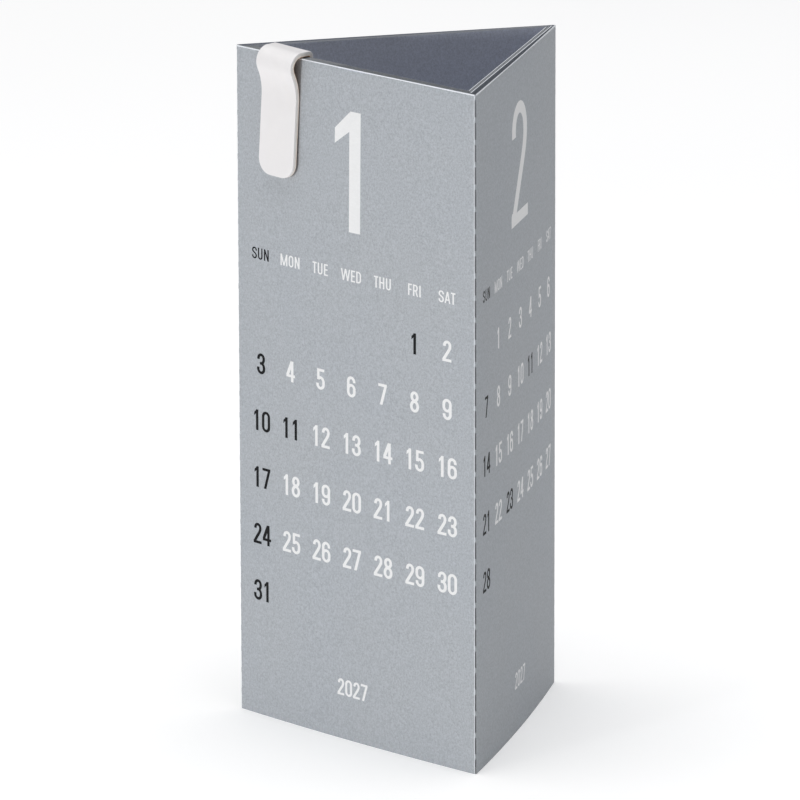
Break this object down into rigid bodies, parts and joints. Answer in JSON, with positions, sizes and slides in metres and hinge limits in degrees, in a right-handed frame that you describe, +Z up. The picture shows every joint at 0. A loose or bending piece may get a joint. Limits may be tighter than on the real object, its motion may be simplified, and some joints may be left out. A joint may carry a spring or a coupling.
{
  "type": "desk calendar",
  "caption": "Three-sided standing desk calendar: nested quarter sheets of folded grey card, one month a panel, held shut by a sprung white leather clip over the top edge.",
  "frame": {"origin": "middle of the footprint box, clip included, on the table", "axes": "+Z up along the folds; the first month faces -Y, the clip is towards -X on that face; +X to the right of the first month"},
  "size_m": [0.0868, 0.0796, 0.1821],
  "materials": {
    "card": "uncoated grey card with a fine pearly grain, white print, darker slate reverse",
    "clip_leather": "smooth white leather, cream cut edge",
    "clip_spring": "plain spring steel strip",
    "clip_lining": "natural tan leather lining"
  },
  "bodies": {
    "january_panel": {"january_panel": "card"},
    "february_panel": {"february_panel": "card"},
    "march_panel": {"march_panel": "card"},
    "first_quarter_flap": {"first_quarter_flap": "card"},
    "april_panel": {"april_panel": "card"},
    "may_panel": {"may_panel": "card"},
    "june_panel": {"june_panel": "card"},
    "second_quarter_flap": {"second_quarter_flap": "card"},
    "july_panel": {"july_panel": "card"},
    "august_panel": {"august_panel": "card"},
    "september_panel": {"september_panel": "card"},
    "third_quarter_flap": {"third_quarter_flap": "card"},
    "october_panel": {"october_panel": "card"},
    "november_panel": {"november_panel": "card"},
    "december_panel": {"december_panel": "card"},
    "fourth_quarter_flap": {"fourth_quarter_flap": "card"},
    "clip_rear": {"clip_rear_leather": "clip_leather", "clip_rear_spring": "clip_spring", "clip_rear_lining": "clip_lining"},
    "clip_front": {"clip_front_leather": "clip_leather", "clip_front_spring": "clip_spring", "clip_front_lining": "clip_lining"}
  },
  "joints": [
    {"name": "november_fold", "type": "hinge", "parent": "october_panel", "child": "november_panel", "pos_m": [0.03868, -0.03324, 0], "axis": [0, 0, 1], "range_deg": [0, 8]},
    {"name": "december_fold", "type": "hinge", "parent": "november_panel", "child": "december_panel", "pos_m": [-0.00011, 0.03614, 0], "axis": [0, 0, 1], "range_deg": [-16, 0]},
    {"name": "fourth_flap_fold", "type": "hinge", "parent": "december_panel", "child": "fourth_quarter_flap", "pos_m": [-0.03868, -0.03287, 0], "axis": [0, 0, 1], "range_deg": [0, 8]},
    {"name": "third_quarter_lift", "type": "slide", "parent": "october_panel", "child": "july_panel", "axis": [0, 0, 1], "range_m": [0, 0.185]},
    {"name": "august_fold", "type": "hinge", "parent": "july_panel", "child": "august_panel", "pos_m": [0.03966, -0.03394, 0], "axis": [0, 0, 1], "range_deg": [0, 8]},
    {"name": "september_fold", "type": "hinge", "parent": "august_panel", "child": "september_panel", "pos_m": [-0.00011, 0.03721, 0], "axis": [0, 0, 1], "range_deg": [-16, 0]},
    {"name": "third_flap_fold", "type": "hinge", "parent": "september_panel", "child": "third_quarter_flap", "pos_m": [-0.03967, -0.03357, 0], "axis": [0, 0, 1], "range_deg": [0, 8]},
    {"name": "second_quarter_lift", "type": "slide", "parent": "july_panel", "child": "april_panel", "axis": [0, 0, 1], "range_m": [0, 0.185]},
    {"name": "may_fold", "type": "hinge", "parent": "april_panel", "child": "may_panel", "pos_m": [0.04065, -0.03464, 0], "axis": [0, 0, 1], "range_deg": [0, 8]},
    {"name": "june_fold", "type": "hinge", "parent": "may_panel", "child": "june_panel", "pos_m": [-0.00011, 0.03827, 0], "axis": [0, 0, 1], "range_deg": [-16, 0]},
    {"name": "second_flap_fold", "type": "hinge", "parent": "june_panel", "child": "second_quarter_flap", "pos_m": [-0.04066, -0.03427, 0], "axis": [0, 0, 1], "range_deg": [0, 8]},
    {"name": "first_quarter_lift", "type": "slide", "parent": "april_panel", "child": "january_panel", "axis": [0, 0, 1], "range_m": [0, 0.185]},
    {"name": "february_fold", "type": "hinge", "parent": "january_panel", "child": "february_panel", "pos_m": [0.04314, -0.03534, 0], "axis": [0, 0, 1], "range_deg": [0, 8]},
    {"name": "march_fold", "type": "hinge", "parent": "february_panel", "child": "march_panel", "pos_m": [-0.00011, 0.03957, 0], "axis": [0, 0, 1], "range_deg": [-16, 0]},
    {"name": "first_flap_fold", "type": "hinge", "parent": "march_panel", "child": "first_quarter_flap", "pos_m": [-0.04314, -0.03497, 0], "axis": [0, 0, 1], "range_deg": [0, 8]},
    {"name": "clip_lift", "type": "slide", "parent": "january_panel", "child": "clip_rear", "axis": [0, 0, 1], "range_m": [0, 0.045]},
    {"name": "clip_flex", "type": "hinge", "parent": "clip_rear", "child": "clip_front", "pos_m": [-0.02498, -0.03589, 0.18183], "axis": [-0.9994, 0, 0.0349], "range_deg": [0, 15], "stiffness_Nm_per_rad": 0.4}
  ],
  "couplings": [
    {"joint": "december_fold", "follows": "november_fold", "ratio": -2},
    {"joint": "fourth_flap_fold", "follows": "november_fold", "ratio": 1},
    {"joint": "august_fold", "follows": "november_fold", "ratio": 1},
    {"joint": "september_fold", "follows": "november_fold", "ratio": -2},
    {"joint": "third_flap_fold", "follows": "november_fold", "ratio": 1},
    {"joint": "may_fold", "follows": "november_fold", "ratio": 1},
    {"joint": "june_fold", "follows": "november_fold", "ratio": -2},
    {"joint": "second_flap_fold", "follows": "november_fold", "ratio": 1},
    {"joint": "february_fold", "follows": "november_fold", "ratio": 1},
    {"joint": "march_fold", "follows": "november_fold", "ratio": -2},
    {"joint": "first_flap_fold", "follows": "november_fold", "ratio": 1}
  ]
}
